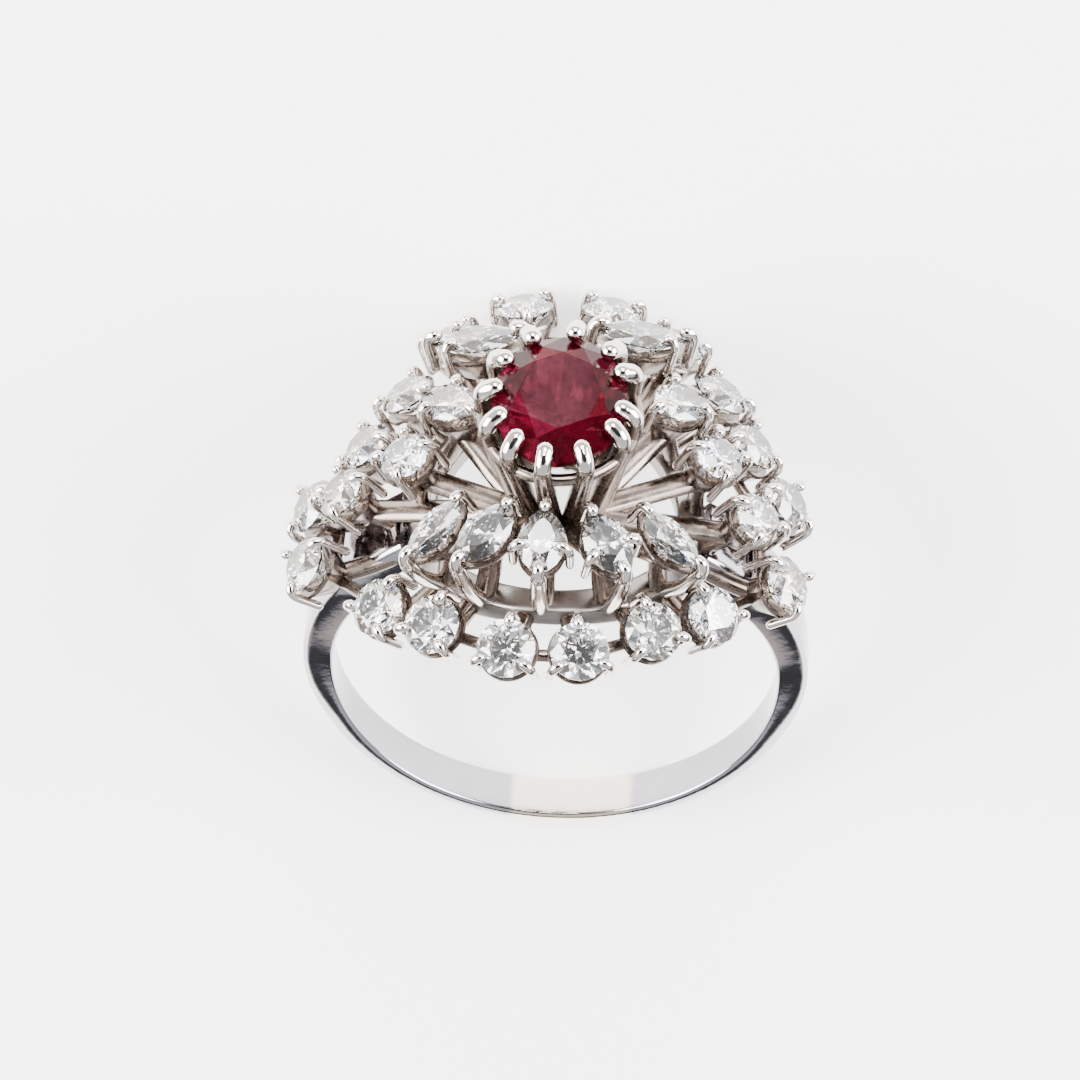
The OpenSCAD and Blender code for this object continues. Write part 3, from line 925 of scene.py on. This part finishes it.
def cup(s, form, length, width, columns=48):
    """A cup that follows the girdle's outline. Its section runs from the axis at the foot,
    out and up to the rim, and back down inside, clear of the stone's pavilion. A point of
    it is a part of the outline and a height under the girdle."""
    x, y = girdle(form, np.linspace(0, 360, columns, endpoint=False), length, width)
    rows = len(CUP_SHARE)
    high = np.broadcast_to(CUP_HIGH, (columns, rows))
    points = at(s, np.outer(x, CUP_SHARE), np.outer(y, CUP_SHARE), high)
    return points.reshape(-1, 3), grid_faces(columns, rows, close_rows=True)


# %% Outer settings
OUTER_CLAW_ANGLES = (57, 180, 303)
OUTER_STRUT_IN = 0.3
OUTER_STRUT_WIRE = 0.46
STRUT_FLAT = 0.7
RAIL_WIRE = 0.24

seats = [outer_seat(row) for row in OUTER]
edges = [girdle("round", angle, OUTER_D, OUTER_D) for angle in OUTER_CLAW_ANGLES]
claws, levels = zip(*(claw_knots(s, x, y) for s in seats for x, y in edges))
build("outer_claws", [claw_shell(claws, levels)], wire_gold, ["ring_mount"], crease=60)

struts = [strut_knots(over_gallery(row[0], GALLERY_R - OUTER_STRUT_IN), s) for row, s in zip(OUTER, seats)]
ups = [s[1] for s in seats]
feet = np.array([at(s, 0, 0, FOOT_LOW) for s in seats])
rail = np.linspace(feet, np.roll(feet, -1, 0), 8, axis=1)
# struts, rail and cups in the darker cast metal: painted shade among the wires
build("outer_settings",
      [wires(smooth_path(struts, STRUT_STEPS), OUTER_STRUT_WIRE, ups, 12, STRUT_FLAT),
       wires(rail, RAIL_WIRE, [[0, 0, 1.0]] * len(feet), 10)]
      + [cup(s, "round", OUTER_D, OUTER_D) for s in seats],
      cast_gold, ["ring_mount"], crease=50)
print("outer claws:", len(claws))

# %% [markdown]
# ## Inner settings
# The inner stones stand higher. A pear has a claw at its point, one at its round end and
# one on each side; a small marquise has one at each point; a round has four. The two large
# marquises at the back have strong claws at their points and two more beside the outer one.
# Under each stone is a cup, a strut runs down from it to the gallery, and a flat rib runs
# in to the ruby's basket. The ribs fan out towards the front. At the front, five long wires
# rise from the gallery and are the outer claws of the stones there.

# %% Inner settings
CLAW_ANGLES = {"marquise": (0, 180), "pear": (0, 72, 180, 288), "round": (0, 90, 180, 270)}
LARGE_LENGTH = 3.2
LARGE_CLAW_ANGLES = (0, 58, 180, 302)
LARGE_SWELL = 1.45
FRONT_REACH = 6.1
FRONT_ANGLE = 120
INNER_STRUT_IN = 0.4
INNER_STRUT_WIRE = 0.48
RIB_FAN = 40
RIB_IN = 1.65
RIB_WIRE = 0.5
RIB_FLAT = 0.55
LONG_FOOT_IN = 0.25
LONG_FOOT_HIGH = 0.8
LONG_STEPS = 30


def long_knots(s, azimuth, knots):
    """A front claw drawn out downwards: the foot on the gallery, a knot half way to the
    claw's second one and a little outside, and then the claw's own knots."""
    foot = over_gallery(azimuth, GALLERY_R - LONG_FOOT_IN, LONG_FOOT_HIGH)
    return np.array([foot, 0.5 * foot + 0.5 * knots[1] + 0.15 * s[2], knots[1], *knots[2:]])


def rib_knots(s, azimuth):
    """From the hub, at an azimuth turned towards the front by the fan times its sine, in a
    straight line to the foot of the setting."""
    a = np.radians(azimuth - RIB_FAN * np.sin(np.radians(azimuth)))
    hub = np.array([RIB_IN * np.sin(a), -RIB_IN * np.cos(a), HUB_Z])
    foot = at(s, 0, 0, FOOT_LOW)
    return np.stack([hub, 0.5 * (hub + foot), foot])


claws, levels, swell, longs, long_levels = [], [], [], [], []
struts, ribs, ups, cups = [], [], [], []
for row in INNER:
    form, azimuth, reach, _, length, width = row
    s = inner_seat(row)
    front = reach < FRONT_REACH and abs(180 - azimuth) > FRONT_ANGLE
    large = length > LARGE_LENGTH
    angles = LARGE_CLAW_ANGLES if large else CLAW_ANGLES[form]
    for angle in angles:
        knots, level = claw_knots(s, *girdle(form, angle, length, width))
        if angle == 0 and front:
            longs.append(long_knots(s, azimuth, knots))
            long_levels.append(level)
        else:
            claws.append(knots)
            levels.append(level)
            swell.append(LARGE_SWELL if large and angle in (0, 180) else 1.0)
    struts.append(strut_knots(over_gallery(azimuth, GALLERY_R - INNER_STRUT_IN), s))
    ribs.append(rib_knots(s, azimuth))
    ups.append(s[1])
    cups.append(cup(s, form, length, width))

# %% Inner claws, cups and long wires
build("inner_claws", [claw_shell(claws, levels, swell)], wire_gold, ["ring_mount"], crease=60)
# struts, ribs and cups in the darker cast metal: painted shade among the wires
build("inner_settings",
      [wires(smooth_path(struts, STRUT_STEPS), INNER_STRUT_WIRE, ups, 12, STRUT_FLAT),
       wires(smooth_path(ribs, 12), RIB_WIRE, ups, 12, RIB_FLAT)] + cups,
      cast_gold, ["ring_mount"], crease=50)
long_radii = np.interp(np.arange(LONG_STEPS), [0, 14, 20, LONG_STEPS - 1], [0.31, 0.30, 0.24, CLAW_TIP])
long_shell = wires(smooth_path(longs, LONG_STEPS), long_radii, long_levels, 14)
build("long_wires", [long_shell], wire_gold, ["ring_mount"], crease=60)
print("inner claws:", len(claws), "long wires:", len(longs))

# %% [markdown]
# ## Finish
# The CAD model's size is printed.

# %% Write the sizes and finish
print("cad", [round(v / MM, 2) for v in (*cad_low, *cad_high)])
